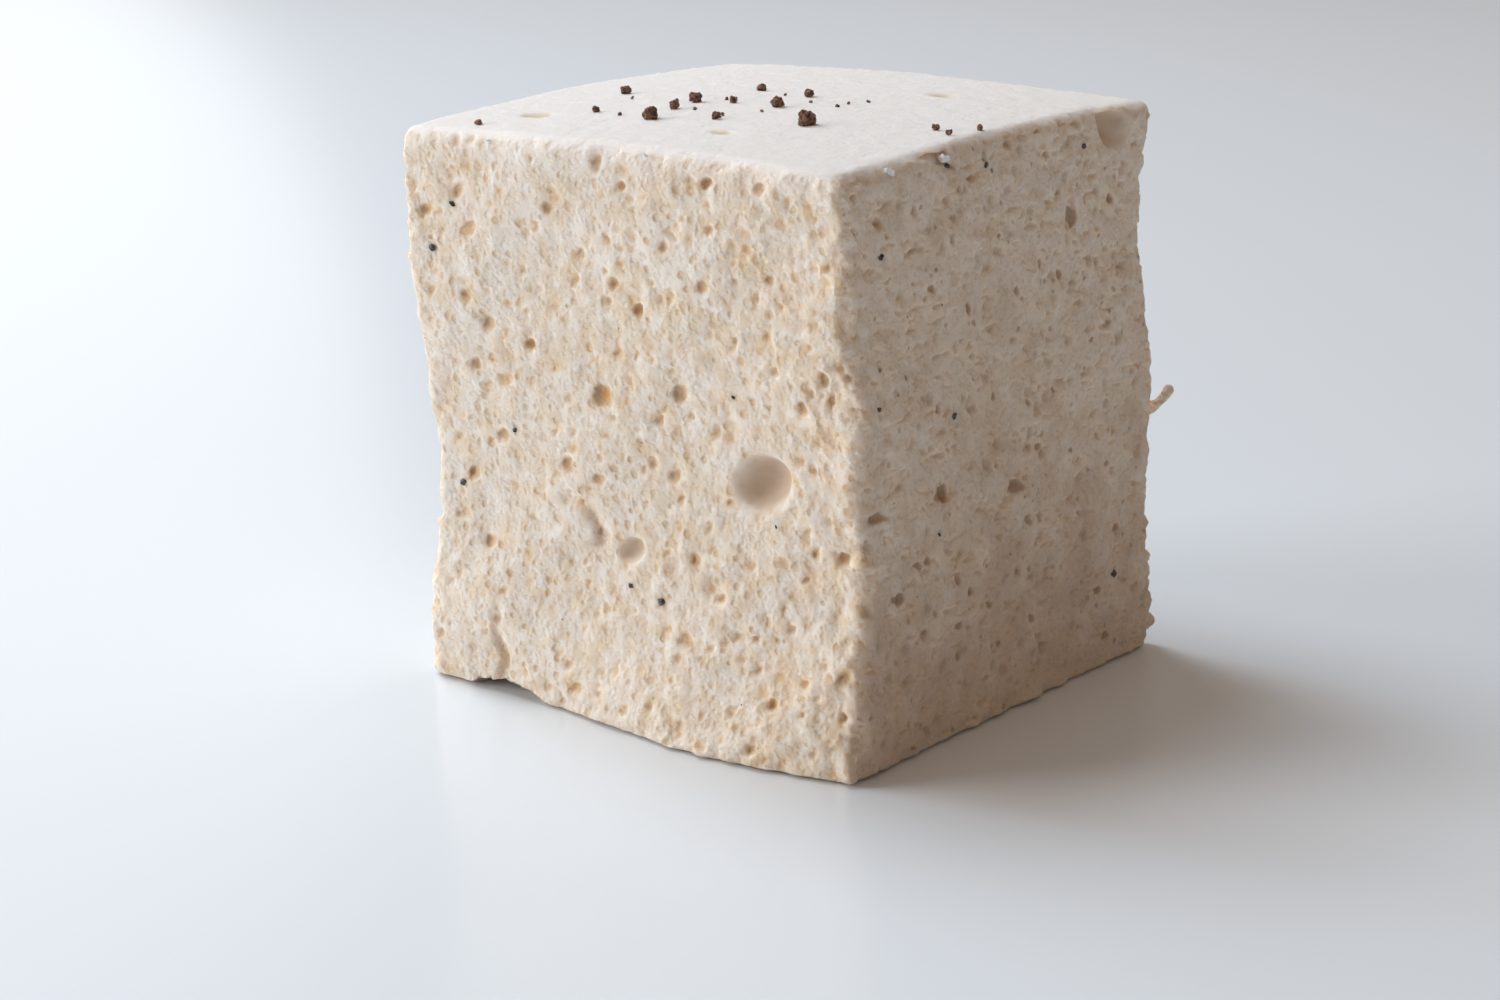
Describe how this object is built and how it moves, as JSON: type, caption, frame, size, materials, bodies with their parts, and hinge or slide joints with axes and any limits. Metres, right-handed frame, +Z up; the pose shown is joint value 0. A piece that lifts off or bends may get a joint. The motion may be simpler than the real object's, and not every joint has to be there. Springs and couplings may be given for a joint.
{
  "type": "marshmallow",
  "caption": "Hand-cut coffee marshmallow: a soft aerated block with porous cut sides, a big burst bubble and a smooth domed skin sprinkled with coffee grounds.",
  "frame": {"origin": "middle of the flat underside, under the centre of the whole outline", "axes": "+Z up through the domed skin, -Y out of the broad open-pored cut side, +X out of the finer-pored side next to it"},
  "size_m": [0.0356, 0.0332, 0.037],
  "materials": {
    "coffee_marshmallow": "soft matte foam sugar, beige from coffee, paler and dusted on its skin",
    "coffee_grounds": "dry dark roasted coffee grounds"
  },
  "bodies": {
    "root": {"marshmallow": "coffee_marshmallow"}
  },
  "joints": []
}
